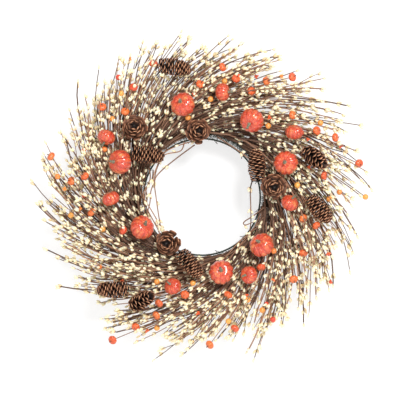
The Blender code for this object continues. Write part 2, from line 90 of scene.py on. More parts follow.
# Pinecones: kind, then the clock direction of the tip and its tilt off the front.
PINECONE_TURNS = (
    ("closed", 97, 90), ("open", 0, 8), ("closed", 98, 90), ("open", 90, 8),
    ("closed", 355, 90), ("open", 180, 8), ("loose", 130, 50), ("closed", 140, 90),
    ("open", 250, 10), ("closed", 140, 90), ("closed", 268, 90), ("loose", 60, 45),
)
# What the picks carry, mini pumpkins, berries and small burst buds: clock, reach, and ripeness
# from 0, yellow, to 1, red.
MINIS = (
    (340, 0.7, 0.8), (328, 0.58, 0.9), (312, 0.63, 0.7), (285, 0.84, 0.6), (280, 0.48, 0.7),
    (277, 0.6, 0.6), (318, 0.44, 0.6), (359, 0.42, 0.7), (9, 0.6, 0.7), (16, 0.52, 0.8),
    (29, 0.61, 0.6), (37, 0.78, 0.8), (25, 0.46, 0.7), (48, 0.51, 0.6), (60, 0.61, 0.7),
    (66, 0.74, 0.7), (78, 0.88, 0.8), (80, 0.53, 0.8), (262, 0.41, 0.6), (247, 0.16, 0.9),
    (202, 0.44, 0.7), (201, 0.56, 0.6), (207, 0.74, 0.7), (212, 0.96, 0.8), (190, 0.29, 0.7),
    (102, 0.33, 0.6), (104, 0.47, 0.7), (119, 0.45, 0.7), (140, 0.22, 0.8), (132, 0.52, 0.6),
    (165, 0.31, 0.7), (166, 0.64, 0.8), (177, 0.76, 0.6),
)
BERRIES = (
    (325, 0.74, 1.0), (322, 0.6, 0.1), (311, 0.48, 0.3), (278, 0.74, 0.4), (296, 0.38, 0.5),
    (350, 0.11, 0.3), (11, 0.47, 0.2), (5, 0.28, 0.3), (43, 0.27, 0.3), (58, 0.68, 0.2),
    (83, 0.26, 0.1), (90, 0.91, 0.2), (91, 0.56, 0.3), (88, 0.66, 0.4), (262, 0.61, 0.1),
    (252, 0.34, 0.2), (208, 0.26, 0.3), (199, 0.67, 0.2), (186, 0.17, 0.2), (127, 0.2, 0.5),
    (156, 0.42, 0.2), (152, 0.57, 0.3), (168, 0.56, 0.1), (150, 0.7, 1.0),
)
BUDS = (
    (332, 0.83, 0.35), (273, 0.65, 0.3), (270, 0.46, 0.9), (355, 0.32, 0.9), (16, 0.55, 0.9),
    (24, 0.6, 0.9), (33, 0.73, 0.4), (40, 0.33, 0.8), (57, 0.47, 0.9), (61, 0.49, 0.8),
    (70, 0.75, 0.9), (264, 0.51, 0.4), (235, 0.52, 0.5), (223, 0.44, 0.9), (202, 0.73, 0.7),
    (114, 0.66, 0.8), (123, 0.81, 0.9), (139, 0.38, 0.7), (148, 0.53, 0.9), (162, 0.51, 0.9),
    (155, 0.37, 0.8), (74, 0.4, 0.8), (228, 0.62, 0.8), (291, 0.55, 0.9), (182, 0.45, 0.8),
)


# ---- placing
def clock_point(clock, radius, depth):
    """A point of the wreath from a clock angle in radians, a radius and a depth."""
    return CENTRE + Vector((radius * sin(clock), -depth, radius * cos(clock)))


def reach_radius(reach):
    return RING_RADIUS + reach * (TIP_RADIUS - RING_RADIUS)


def direction(clock_deg, tilt_deg):
    """A unit vector: tilt 0 faces the front, tilt 90 lies along the clock direction."""
    clock, tilt = radians(clock_deg), radians(tilt_deg)
    return Vector((sin(clock) * sin(tilt), -cos(tilt),
                   cos(clock) * sin(tilt)))


def sweep(start_radius, launch_deg, tip_radius, tip_deg=36, steps=14):
    """Clock advance and radius along a stem that straightens evenly from its launch angle."""
    first, last = radians(launch_deg), radians(tip_deg)
    mean_outward = (sin(first) - sin(last)) / (first - last)
    length = (tip_radius - start_radius) / mean_outward
    clock, radius = 0.0, start_radius
    path = [(clock, radius)]
    fine = 4
    for step in range(steps * fine):
        angle = first + (last - first) * (step + 0.5) / (steps * fine)
        radius += cos(angle) * length / (steps * fine)
        clock += sin(angle) * length / (steps * fine) / radius
        if step % fine == fine - 1:
            path.append((clock, radius))
    return path


# ---- mesh building
# How far a lumpy form strays from its template, as a share of its size.
LUMPS = 0.05


def random_vector(rng, low, high):
    return Vector((rng.uniform(low, high), rng.uniform(low, high), rng.uniform(low, high)))


def numbered(name, number):
    return f"{name}_{number + 1:02d}"


def add_object(name, data):
    obj = bpy.data.objects.new(name, data)
    bpy.context.collection.objects.link(obj)
    return obj


class Shape:
    """Points, faces, material numbers and a tint for each point: how far along its own piece it
    lies, a shade for the piece, random or painted shade for the stems and pips at the back of a
    bunch, and how deep in a groove it is."""

    def __init__(self):
        self.points = []
        self.faces = []
        self.slots = []
        self.tints = []

    def add(self, points, faces, slot, tints):
        first = len(self.points)
        self.points.extend(points)
        self.faces.extend([[first + index for index in face] for face in faces])
        self.slots.extend([slot] * len(faces))
        self.tints.extend(tints)

    def build(self, name, materials, slot, node, body="wreath"):
        """Make the object that stands for a node and rides on a body."""
        mesh = bpy.data.meshes.new(name)
        mesh.from_pydata([tuple(point) for point in self.points], [], self.faces)
        for material in materials:
            mesh.materials.append(MATERIALS[material])
        mesh.polygons.foreach_set("material_index", self.slots)
        mesh.polygons.foreach_set("use_smooth", [True] * len(self.faces))
        tint = mesh.color_attributes.new("tint", "FLOAT_COLOR", "POINT")
        tint.data.foreach_set("color", [value for row in self.tints for value in (*row, 1.0)])
        mesh.validate()
        obj = add_object(name, mesh)
        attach(obj, body)
        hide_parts(node)


def band_faces(rings, sides, closed=False):
    """Faces between rings of corners; a closed band joins its last ring to its first."""
    faces = []
    for ring in range(rings if closed else rings - 1):
        here, there = ring * sides, (ring + 1) % rings * sides
        for corner in range(sides):
            around = (corner + 1) % sides
            faces.append((here + corner, here + around, there + around, there + corner))
    return faces


def loft_faces(rings, sides):
    """A band with a flat cap at each end."""
    last = (rings - 1) * sides
    caps = [tuple(range(sides - 1, -1, -1)), tuple(range(last, last + sides))]
    return band_faces(rings, sides) + caps


def add_tube(shape, path, radii, sides, slot, shade=0.5, closed=False, flat=1.0, up=FRONT,
             groove=0.0):
    """A tube along a path; flat thins it along up, groove dents every other side."""
    count = len(path)
    points, tints = [], []
    for index, point in enumerate(path):
        before = path[index - 1] if index or closed else point
        after = path[(index + 1) % count] if index < count - 1 or closed else point
        along = (after - before).normalized()
        side = along.cross(up)
        if side.length < 0.05:
            side = along.cross(Vector((0.9, 0.1, 0.4)))
        side.normalize()
        over = side.cross(along)
        radius = radii[index] if isinstance(radii, (list, tuple)) else radii
        for corner in range(sides):
            turn = tau * (corner + 0.5) / sides
            dent = 1 - groove * (corner % 2)
            offset = side * cos(turn) + over * sin(turn) * flat
            points.append(point + offset * radius * dent)
            tints.append((index / (count - 1), shade, corner % 2 if groove else 0.0))
    faces = band_faces(count, sides, True) if closed else loft_faces(count, sides)
    shape.add(points, faces, slot, tints)


def turned_faces(rings, sides):
    """A band closed at each end by a fan round a pole; the two poles are the last points."""
    faces = band_faces(rings, sides)
    last, bottom = (rings - 1) * sides, rings * sides
    for corner in range(sides):
        around = (corner + 1) % sides
        faces.append((bottom, around, corner))
        faces.append((bottom + 1, last + corner, last + around))
    return faces


def turned_template(profile, sides):
    """A turned form along +Z from (radius, height) points, with a pole at each end."""
    points, tints = [], []
    low, high = profile[0][1], profile[-1][1]
    for radius, height in profile[1:-1]:
        for corner in range(sides):
            turn = tau * corner / sides
            points.append((radius * cos(turn), radius * sin(turn), height))
            tints.append((height - low) / (high - low))
    points += [(0, 0, low), (0, 0, high)]
    tints += [0.0, 1.0]
    return points, turned_faces(len(profile) - 2, sides), tints, [0.0] * len(points)


def stamp(shape, template, place, axis, size, slot, shade, spin=0.0, seed=None):
    """Copy a template with its +Z along axis. Size scales it across and along, spin turns it
    about the axis and a seed makes it a little lumpy."""
    points, faces, tints, grooves = template
    across, along = size
    turn = axis.to_track_quat("Z", "Y")
    level, upright = cos(spin), sin(spin)
    placed = []
    for x, y, z in points:
        local = Vector((x * level - y * upright, x * upright + y * level, z))
        if seed is not None:
            local *= 1 + LUMPS * noise.noise(local * 1.3 + seed)
        placed.append(place + turn @ (local * Vector((across, across, along))))
    shape.add(placed, faces, slot, [(t, shade, g) for t, g in zip(tints, grooves)])


def smooth_route(points, steps, closed=False):
    """A Catmull-Rom curve through points."""
    count = len(points)
    route = []
    for index in range(count if closed else count - 1):
        around = [points[(index + shift) % count] if closed
                  else points[min(max(index + shift, 0), count - 1)] for shift in (-1, 0, 1, 2)]
        for step in range(steps):
            share = step / steps
            weights = (
                (-share + 2 * share ** 2 - share ** 3) / 2,
                (2 - 5 * share ** 2 + 3 * share ** 3) / 2,
                (share + 4 * share ** 2 - 3 * share ** 3) / 2,
                (share ** 3 - share ** 2) / 2,
            )
            route.append(sum((p * w for p, w in zip(around, weights)), Vector()))
    if not closed:
        route.append(points[-1].copy())
    return route


# ---- materials
class Look:
    """A Principled material with short helpers for its nodes."""

    def __init__(self, name, **settings):
        self.material = bpy.data.materials.new(name)
        self.material.use_nodes = True
        self.tree = self.material.node_tree
        self.shader = self.tree.nodes["Principled BSDF"]
        for setting, value in settings.items():
            self.shader.inputs[setting.replace("_", " ").title()].default_value = value
        self.place = self.node("ShaderNodeTexCoord").outputs["Object"]
        tint = self.node("ShaderNodeAttribute", attribute_name="tint").outputs["Color"]
        split = self.node("ShaderNodeSeparateColor", {"Color": tint})
        self.along, self.shade, self.groove = split.outputs[:3]

    def feed(self, socket, value):
        """Link another node's output to a socket, or set a number or a colour on it."""
        if isinstance(value, bpy.types.NodeSocket):
            self.tree.links.new(value, socket)
        else:
            socket.default_value = (*value, 1) if isinstance(value, tuple) else value

    def node(self, kind, inputs=None, **settings):
        made = self.tree.nodes.new(kind)
        for setting, value in settings.items():
            setattr(made, setting, value)
        for name, value in (inputs or {}).items():
            self.feed(made.inputs[name], value)
        return made

    def noise(self, scale, detail=3.0, roughness=0.55):
        inputs = {"Scale": scale, "Detail": detail, "Roughness": roughness, "Vector": self.place}
        return self.node("ShaderNodeTexNoise", inputs).outputs["Fac"]

    def cells(self, scale):
        made = self.node("ShaderNodeTexVoronoi", {"Scale": scale, "Vector": self.place})
        return made.outputs["Distance"]

    def ramp(self, factor, *stops):
        made = self.node("ShaderNodeValToRGB", {"Fac": factor})
        elements = made.color_ramp.elements
        while len(elements) < len(stops):
            elements.new(0.5)
        for element, (position, colour) in zip(elements, stops):
            element.position = position
            element.color = (*colour, 1)
        return made.outputs["Color"]

    def mix(self, factor, first, second):
        # The colour sockets of a Mix node are its inputs 6 and 7 and its output 2.
        inputs = {0: factor, 6: first, 7: second}
        return self.node("ShaderNodeMix", inputs, data_type="RGBA").outputs[2]

    def math(self, operation, first, second, third=0.0):
        inputs = {0: first, 1: second, 2: third}
        return self.node("ShaderNodeMath", inputs, operation=operation).outputs[0]

    def toward(self, colour, target, factor, amount):
        """Bring a colour towards a target by a factor times an amount."""
        return self.mix(self.math("MULTIPLY", factor, amount), colour, target)

    def finish(self, colour, height, strength, distance):
        """Set the base colour and the bump, and return the material."""
        inputs = {"Strength": strength, "Distance": distance, "Height": height}
        bump = self.node("ShaderNodeBump", inputs)
        self.feed(self.shader.inputs["Base Color"], colour)
        self.feed(self.shader.inputs["Normal"], bump.outputs["Normal"])
        return self.material


def bark_look():
    """Brown paper twisted round wire: fibres, stems of random tone, and painted shade on the stems
    at the back of a bunch and towards the roots.
    """
    look = Look("twig_paper", roughness=0.62)
    broad = look.ramp(look.noise(45, 4), (0.32, (0.03, 0.012, 0.007)),
                      (0.5, (0.105, 0.045, 0.027)), (0.68, (0.33, 0.165, 0.098)))
    # The dark end of this ramp is painted shade on the stems at the back of a bunch; the rest is
    # random tone.
    stem_tone_and_painted_shade = look.ramp(look.shade, (0.0, (0.03, 0.012, 0.007)), (0.3, (0.07, 0.03, 0.018)),
                        (0.6, (0.29, 0.135, 0.072)), (1.0, (0.57, 0.3, 0.175)))
    colour = look.mix(0.62, broad, stem_tone_and_painted_shade)
    fibres = look.noise(900, 4, 0.7)
    colour = look.toward(colour, (0.4, 0.215, 0.125), fibres, 0.3)
    # Painted shade: the stems are darker towards the root of the bunch, where they crowd together,
    # and more so on the darker stems at the back.
    painted_root_shade = look.math("MULTIPLY_ADD", look.along, -1.4, 0.84)
    painted_root_shade.node.use_clamp = True
    painted_root_shade = look.math("MULTIPLY", painted_root_shade, look.math("MULTIPLY_ADD", look.shade, -0.55, 1.1))
    painted_root_shade.node.use_clamp = True
    colour = look.mix(painted_root_shade, colour, (0.03, 0.012, 0.006))
    return look.finish(colour, fibres, 0.6, 0.0005)


def pip_look():
    """Cream foam pips, tan where they sit on the stem."""
    look = Look("cream_pip", roughness=0.5, subsurface_weight=0.08, subsurface_scale=0.002)
    body = look.ramp(look.along, (0.0, (0.26, 0.13, 0.05)), (0.14, (0.84, 0.62, 0.31)),
                     (0.32, (0.99, 0.87, 0.57)), (1.0, (1.0, 0.95, 0.74)))
    # A small random pull towards tan is the pips' own tone; the larger pull on pips at the back of a
    # bunch is painted shade.
    tone_and_painted_shade = look.toward(body, (0.8, 0.58, 0.31), look.shade, 0.22)
    return look.finish(tone_and_painted_shade, look.noise(700), 0.35, 0.0004)


def pumpkin_look():
    """Lacquered foam: orange-red, mottled with orange and yellow, with pale specks that are partly
    its own speckle and partly painted glints, darker in the grooves.
    """
    look = Look("pumpkin_skin", roughness=0.3, coat_weight=1.0, coat_roughness=0.16)
    blotches = look.ramp(look.noise(95, 5, 0.65), (0.36, (0.58, 0.03, 0.01)),
                         (0.5, (0.78, 0.075, 0.022)), (0.59, (0.9, 0.2, 0.05)),
                         (0.7, (0.98, 0.5, 0.16)))
    # Pale specks: partly the foam's own speckle, partly painted glints in place of broken
    # highlights.
    specks_and_painted_glints = look.ramp(look.cells(330), (0.14, (1.0, 0.62, 0.36)), (0.32, (0.72, 0.07, 0.024)))
    colour = look.mix(0.36, blotches, specks_and_painted_glints)
    colour = look.toward(colour, (0.42, 0.02, 0.008), look.groove, 0.55)
    return look.finish(colour, look.noise(380, 3, 0.6), 1.0, 0.0024)


def pumpkin_stem_look():
    """Grey-green and woody, darker in the grooves."""
    look = Look("pumpkin_stem", roughness=0.7)
    colour = look.ramp(look.noise(260, 4, 0.7), (0.3, (0.13, 0.12, 0.07)),
                       (0.55, (0.33, 0.34, 0.24)), (0.8, (0.52, 0.52, 0.42)))
    colour = look.toward(colour, (0.08, 0.07, 0.04), look.groove, 0.7)
    return look.finish(colour, look.noise(800), 0.6, 0.0005)


def fruit_look():
    """Berries and mini pumpkins: from yellow-orange to red by ripeness."""
    look = Look("fruit_skin", roughness=0.34, coat_weight=0.3, coat_roughness=0.2)
    ripe = look.ramp(look.shade, (0.0, (0.95, 0.52, 0.11)), (0.3, (0.93, 0.37, 0.07)),
                     (0.7, (0.85, 0.14, 0.035)), (1.0, (0.66, 0.02, 0.02)))
    mottle = look.ramp(look.noise(260, 4, 0.65), (0.4, (0.62, 0.05, 0.02)),
                       (0.62, (0.93, 0.4, 0.1)))
    colour = look.mix(0.24, ripe, mottle)
    colour = look.toward(colour, (0.5, 0.04, 0.012), look.groove, 0.5)
    return look.finish(colour, look.noise(600), 0.4, 0.0005)


def cone_look():
    """Pinecone scales: painted near black inside as the shade between them, red-brown on the face,
    tan along the rim.
    """
    look = Look("cone_scale", roughness=0.62)
    along = look.math("ADD", look.along, look.math("MULTIPLY", look.noise(320, 4, 0.7), 0.1))
    along = look.math("SUBTRACT", along, 0.05)
    # The near black stops deep in each scale are painted shade between the scales.
    colour = look.ramp(along, (0.45, (0.008, 0.0025, 0.001)), (0.82, (0.034, 0.01, 0.004)),
                       (0.91, (0.13, 0.036, 0.013)), (0.962, (0.36, 0.13, 0.055)),
                       (1.0, (0.8, 0.43, 0.24)))
    # Some scales are darker all over than their neighbours.
    dull = look.math("POWER", look.shade, 2.0)
    colour = look.toward(colour, (0.055, 0.018, 0.008), dull, 0.6)
    # The broad faces of a cone that has opened are paler from half way out to the rim. In a cone
    # the groove tint is how open it is.
    face = look.math("SUBTRACT", look.math("POWER", look.along, 4.5),
                     look.math("POWER", look.along, 16.0))
    face = look.math("MULTIPLY", look.groove, face)
    colour = look.toward(colour, (0.27, 0.105, 0.048), face, 0.95)
    return look.finish(colour, look.noise(650, 4, 0.7), 0.6, 0.0006)


def bristle_look():
    """Dark green bristles, a few of them paler."""
    look = Look("bristle", roughness=0.6)
    colour = look.ramp(look.shade, (0.0, (0.004, 0.01, 0.005)), (0.6, (0.014, 0.034, 0.016)),
                       (1.0, (0.05, 0.09, 0.05)))
    return look.finish(colour, look.noise(900, 2), 0.3, 0.0003)


def wire_look(name, dark, light):
    """Dull metal that varies between two colours."""
    look = Look(name, roughness=0.42, metallic=0.35)
    colour = look.ramp(look.noise(160, 4, 0.7), (0.35, dark), (0.75, light))
    return look.finish(colour, look.noise(1200), 0.25, 0.0002)


def tape_look():
    """Brown crepe tape round the roots."""
    look = Look("floral_tape", roughness=0.7)
    colour = look.ramp(look.noise(120, 4), (0.3, (0.05, 0.03, 0.02)), (0.7, (0.14, 0.085, 0.055)))
    return look.finish(colour, look.noise(500), 0.5, 0.0006)


MATERIALS = {
    "bark": bark_look(), "pip": pip_look(), "pumpkin": pumpkin_look(),
    "pumpkin_stem": pumpkin_stem_look(), "fruit": fruit_look(), "cone": cone_look(),
    "bristle": bristle_look(), "tape": tape_look(),
    "frame_wire": wire_look("frame_wire", (0.01, 0.018, 0.011), (0.03, 0.055, 0.03)),
    "binding": wire_look("binding_wire", (0.03, 0.02, 0.015), (0.13, 0.09, 0.06)),
}


# ---- obstacles
# Spheres along a pinecone seen from the side: shift towards its tip, and radius.
CONE_SPHERES = ((-0.018, 0.014), (-0.004, 0.0155), (0.012, 0.013), (0.023, 0.008))


def decoration_spheres():
    """Spheres over the pumpkins and pinecones, so that stems pass behind them."""
    spheres = []
    for number in range(len(PUMPKIN_TURNS)):
        low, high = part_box(numbered("pumpkin", number))
        radius = min(high.x - low.x, high.z - low.z) / 2 + 0.0005
        spheres.append((*((low + high) / 2), radius))
    for number, (kind, clock, tilt) in enumerate(PINECONE_TURNS):
        low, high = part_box(numbered("pinecone", number))
        middle = (low + high) / 2
        axis = direction(clock, tilt)
        if kind == "open":
            spheres.append((*middle, (high.x - low.x) / 2))
        else:
            spheres += [(*(middle + axis * shift), radius) for shift, radius in CONE_SPHERES]
    return np.array(spheres)


OBSTACLES = decoration_spheres()


def pass_behind(path, clearance=0.0025):
    """Push a path back wherever it would run through a decoration."""
    points = np.array([tuple(point) for point in path])
    for middle_x, middle_y, middle_z, radius in OBSTACLES:
        apart = np.hypot(points[:, 0] - middle_x, points[:, 2] - middle_z)
        wide = radius + clearance
        inside = apart < wide
        if not inside.any():
            continue
        behind = middle_y + np.sqrt(np.maximum(wide ** 2 - apart ** 2, 0))
        hits = inside & (points[:, 1] < behind)
        points[hits, 1] = behind[hits]
    for _ in range(3):
        eased = points[:, 1].copy()
        eased[1:-1] = (points[:-2, 1] + 2 * points[1:-1, 1] + points[2:, 1]) / 4
        points[:, 1] = np.maximum(points[:, 1], eased)
    return [Vector(row) for row in points]


def is_clear(point, clearance=0.002):
    """True where a point stands off every decoration."""
    offsets = OBSTACLES[:, :3] - np.array(tuple(point))
    return bool((np.linalg.norm(offsets, axis=1) > OBSTACLES[:, 3] + clearance).all())


# ---- sprays
SPRAY_MATERIALS = ("bark", "pip", "tape")
BARK_SLOT, PIP_SLOT, TAPE_SLOT = 0, 1, 2
PIP = turned_template(((0, 0), (0.55, 0.14), (1.0, 0.45), (0.8, 0.76), (0, 1.0)), 6)
PIP_HALF_WIDTH = 0.0023
PIP_LENGTH = 0.0094
STEMS_PER_SPRAY = 46
# The roots of a bunch's stems stand this far to either side of the garland's centre line.
ROOT_HALF_WIDTH = 0.0145
# A bunch's stems end about this far round the clock from its root.
TIP_ADVANCE = radians(78)
# The longest reach of any stem, which leaves room for the pip at its tip.
LONGEST_REACH = 0.985
# How far the bunches reach, as a share of the full reach, at every 30 degrees of the clock.
TRIM = (0.99, 1.00, 1.08, 1.03, 0.88, 0.87, 0.98, 0.96, 0.98, 0.9, 0.94, 0.94)
# Loose stems that cross the edge of the opening: the spray that owns each, then the clock in
# degrees and the radius and depth in millimetres of its root, its bends and its tip.
LOOSE_STEMS = (
    (11, ((352, 93, 40), (328, 82, 44), (301, 86, 46), (288, 88, 46), (268, 81, 44), (243, 85, 42),
          (233, 91, 38))),
    (11, ((342, 103, 36), (339, 94, 38), (333, 90, 40), (317, 100, 42), (300, 95, 44),
          (290, 92, 44))),
    (10, ((324, 106, 34), (315, 100, 38), (301, 94, 42), (287, 89, 44), (276, 91, 44), (263, 93, 42),
          (253, 102, 38))),
    (10, ((300, 108, 34), (288, 97, 38), (273, 104, 40), (265, 99, 42), (251, 91, 42),
          (236, 90, 38))),
    (9, ((299, 99, 36), (290, 94, 38), (279, 99, 40), (264, 103, 40), (250, 108, 36))),
    (9, ((284, 107, 32), (272, 98, 36), (256, 101, 38), (240, 106, 36))),
    (12, ((4, 106, 34), (350, 100, 40), (330, 101, 44), (312, 107, 40))),
    (8, ((276, 112, 30), (256, 99, 38), (238, 96, 38), (222, 103, 34))),
    (1, ((14, 110, 30), (34, 104, 36), (52, 108, 38), (66, 122, 34))),
    (2, ((70, 97, 30), (80, 87, 34), (98, 87, 36), (118, 98, 34), (130, 108, 30))),
    (3, ((99, 113, 34), (110, 97, 38), (121, 86.5, 40), (123, 91.5, 40), (117, 100, 38))),
    (3, ((108, 116, 30), (124, 106, 36), (142, 109, 38), (160, 125, 36))),
    (4, ((118, 113, 32), (138, 103, 36), (156, 112, 38), (172, 134, 36))),
)


def random_side(axis, rng):
    """A random direction square to an axis."""
    return axis.cross(random_vector(rng, -1, 1)).normalized()


def tilted(along, rng, low_deg, high_deg):
    """A direction that leaves along at a random angle, to a random side."""
    side = random_side(along, rng)
    angle = radians(rng.uniform(low_deg, high_deg))
    return (along * cos(angle) + side * sin(angle)).normalized()


def add_pip(shape, foot, axis, rng, painted_shade=0.0):
    """One pip on a very short stalk, painted browner as its last argument rises, as shade on the
    pips at the back of a bunch.
    """
    stalk = foot + axis * rng.uniform(0.0008, 0.0022)
    length = PIP_LENGTH * rng.uniform(0.82, 1.15)
    if not is_clear(stalk + axis * length * 0.6):
        return
    add_tube(shape, [foot, stalk + axis * 0.001], 0.0004, 3, BARK_SLOT, 0.3)
    width = PIP_HALF_WIDTH * rng.uniform(0.85, 1.15)
    stamp(shape, PIP, stalk, axis, (width, length), PIP_SLOT, painted_shade + rng.random(),
          rng.uniform(0, 1))


def add_pips_along(shape, path, radius, spacing, start_share, rng, painted_shade=0.0):
    """Clusters of one to three pips that point forward along a stem, and one to three more at
    its tip. Spacing is the mean distance between clusters, start_share the bare part."""
    travelled, due = 0.0, rng.uniform(0.3, 1.0) * spacing
    total = sum((b - a).length for a, b in zip(path, path[1:]))
    for here, there in zip(path, path[1:]):
        step = there - here
        length = step.length
        along = step.normalized()
        while due < travelled + length:
            share = (due - travelled) / length
            if due > start_share * total:
                for _ in range(rng.choice((1, 2, 2, 3))):
                    axis = tilted(along, rng, 14, 36)
                    foot = here + step * share + (axis - along * axis.dot(along)) * radius
                    add_pip(shape, foot + along * rng.uniform(-0.002, 0.002), axis, rng, painted_shade)
            due += spacing * rng.uniform(0.7, 1.35)
        travelled += length
    along = (path[-1] - path[-2]).normalized()
    add_pip(shape, path[-1], tilted(along, rng, 0, 10), rng)
    for _ in range(rng.choice((0, 0, 1, 2))):
        add_pip(shape, path[-1] - along * rng.uniform(0, 0.002), tilted(along, rng, 25, 50), rng)


def add_twig(shape, path, rng):
    """A short side twig that leaves a stem and bends back along it."""
    index = rng.randrange(len(path) // 3, len(path) - 2)
    along = (path[index + 1] - path[index]).normalized()
    out = tilted(along, rng, 22, 40)
    length = rng.uniform(0.018, 0.046)
    twig = [path[index].copy()]
    for _ in range(4):
        out = (out * 0.86 + along * 0.14).normalized()
        twig.append(twig[-1] + out * length / 4)
    farthest = max((point - CENTRE).length for point in twig)
    if farthest > TIP_RADIUS or not all(is_clear(point) for point in twig[1:]):
        return
    add_tube(shape, twig, [0.0009, 0.0008, 0.0008, 0.0007, 0.0006], 4, BARK_SLOT, rng.random())
    add_pips_along(shape, twig, 0.0006, 0.017, 0.35, rng)


def trim(clock):
    """TRIM at any clock angle, blended between its two nearest entries."""
    position = degrees(clock) % 360 / 30
    first = int(position)
    share = position - first
    return TRIM[first % 12] * (1 - share) + TRIM[(first + 1) % 12] * share


def make_stem(shape, root, across, rng):
    """One wavy stem with its twigs and pips; across runs from -1, inside, to 1, outside."""
    # The stems on the inside leave the root most nearly along the garland.
    launch = 70 - 18 * across + rng.uniform(-5, 5)
    trimmed = trim(root + TIP_ADVANCE)
    if across < -0.5:
        reach = rng.uniform(0.25, 0.8)
    elif rng.random() < 0.13:
        reach = rng.uniform(0.86, LONGEST_REACH) * min(1.0, trimmed + 0.08)
    else:
        reach = rng.triangular(0.36, 0.93, 0.76) * trimmed
    reach = min(reach, LONGEST_REACH)
    # The bunches stand back at the top right of the opening, where the bristles show.
    setback = 0.006 * max(0.0, cos(root + 0.3 - radians(35)))
    start = RING_RADIUS + across * ROOT_HALF_WIDTH - 0.001 + setback + rng.uniform(-0.002, 0.002)
    route = sweep(start, launch, reach_radius(reach), rng.uniform(36, 54))
    offset = root + rng.uniform(-0.19, 0.19)
    # How far the stem comes forward, or falls back, between its root and its tip.
    rise = rng.uniform(-0.028, 0.02)
    begin = rng.uniform(0.001, 0.008)
    phase, waves = rng.uniform(0, tau), rng.uniform(1.2, 2.6)
    path = []
    for step, (clock, radius) in enumerate(route):
        share = step / (len(route) - 1)
        layer = SPRAY_BACK + begin + (SPRAY_FRONT - SPRAY_BACK) * 0.65 * clock
        depth = layer + rise * share ** 1.4
        wobble = 0.0024 * sin(phase + waves * tau * share) * min(1, share * 4)
        path.append(clock_point(offset + clock, radius + wobble, depth + wobble * 0.7))
    path = pass_behind(path)
    thick = rng.choice((0.0011, 0.0013, 0.0014, 0.002))
    radii = [thick * (1 - 0.38 * step / (len(path) - 1)) for step in range(len(path))]
    in_front = rise > 0.0 or across < -0.4
    # Stems at the back get a dark shade, painted shade from the stems in front of them; stems in
    # front get a random tone.
    shade = rng.uniform(0.25, 1.0) if in_front else rng.uniform(0.0, 0.3)
    add_tube(shape, path, radii, 5, BARK_SLOT, shade)
    for _ in range(rng.choice((0, 1, 1, 2))):
        add_twig(shape, path, rng)
    # The stems at the back of a bunch are bare further out than the ones at its front.
    bare = rng.choice((0.06, 0.15, 0.3)) if in_front else rng.choice((0.6, 0.7, 0.8))
    # Pips at the back of a bunch are painted browner, as painted shade.
    spacing, painted_shade = (0.033, 0.0) if in_front else (0.04, 2.2)
    add_pips_along(shape, path, thick * 0.8, spacing, bare, rng, painted_shade)


def make_loose_stem(shape, bends, rng):
    """One of the stems that stray over the opening."""
    route = smooth_route([clock_point(radians(clock), radius / 1000, depth / 1000)
                          for clock, radius, depth in bends], 5)
    route = pass_behind(route)
    radii = [0.0013 - 0.0004 * step / (len(route) - 1) for step in range(len(route))]
    add_tube(shape, route, radii, 5, BARK_SLOT, rng.uniform(0.4, 1))
    add_pips_along(shape, route, 0.0007, 0.032, 0.15, rng)


def add_root(shape, root):
    """The taped root of a bunch: a flat wrapped handle with the cut stems showing."""
    half = 0.012 / RING_RADIUS
    depth = SPRAY_BACK + 0.0025
    tape_turns = 14
    path, radii = [], []
    for step in range(tape_turns * 2 + 1):
        path.append(clock_point(root + half * (step / tape_turns - 1), RING_RADIUS, depth))
        radii.append(0.0098 + 0.0004 * (step % 2))
    add_tube(shape, path, radii, 14, TAPE_SLOT, 0.5, flat=0.25)
    for stub in range(9):
        radius = RING_RADIUS + (stub - 4) * 0.002
        ends = [clock_point(root - half * 1.5, radius, depth), clock_point(root, radius, depth)]
        add_tube(shape, ends, 0.0009, 5, BARK_SLOT, 0.4)


def make_sprays():
    for number in range(SPRAY_COUNT):
        rng = random.Random(100 + number)
        root = (number + 0.5) * SPRAY_PITCH
        shape = Shape()
        add_root(shape, root)
        for stem in range(STEMS_PER_SPRAY):
            across = 2 * stem / (STEMS_PER_SPRAY - 1) - 1
            make_stem(shape, root, across, rng)
        for owner, bends in LOOSE_STEMS:
            if owner == number + 1:
                make_loose_stem(shape, bends, rng)
        shape.build(numbered("pip_bunch", number), SPRAY_MATERIALS, "pip_stems",
                    numbered("pip_spray", number))


# ---- pumpkins
PUMPKIN_FLATNESS = 0.8
# The corners of the modelled body's widest ring stand this far off its waist.
WAIST_ANGLE = radians(20)


def node_corners(node):
    return np.array([tuple(v.co) for v in frame["nodes"][node].data.vertices])


def heights_and_offsets(node, axis):
    """How far a node's corners lie along an axis, and where they lie across it."""
    corners, line = node_corners(node), np.array(tuple(axis))
    heights = corners @ line
    return heights, corners - np.outer(heights, line)


def pumpkin_template(ribs, flatness, dimple, rows=22, per_rib=7, rib_depth=0.08):
    """A ribbed squat body of radius 1 about +Z, with a dimple at each pole."""
    columns = ribs * per_rib
    points, tints, grooves = [], [], []
    for row in range(1, rows):
        rise = pi * (row / rows - 0.5)
        for column in range(columns):
            turn = tau * column / columns
            valley = 1 - abs(sin(ribs * turn / 2))
            dent = rib_depth * valley ** 2.2 * cos(rise) ** 0.4
            radius = cos(rise) ** 0.82 * (1 - dent)
            drop = dimple * exp(-(cos(rise) / 0.36) ** 2) * copysign(1, rise)
            points.append((radius * cos(turn), radius * sin(turn),
                           flatness * sin(rise) - drop))
            tints.append(row / rows)
            grooves.append(valley ** 2)
    points += [(0, 0, dimple - flatness), (0, 0, flatness - dimple)]
    tints += [0.0, 1.0]
    grooves += [0.5, 0.5]
    return points, turned_faces(rows - 1, columns), tints, grooves


def add_pumpkin(shape, template, place, axis, radius, slot, shade, rng):
    """A lumpy body, turned at random, with its stem end along axis."""
    spin = rng.uniform(0, tau)
    seed = random_vector(rng, 0, 9)
    stamp(shape, template, place, axis, (radius, radius), slot, shade, spin, seed)


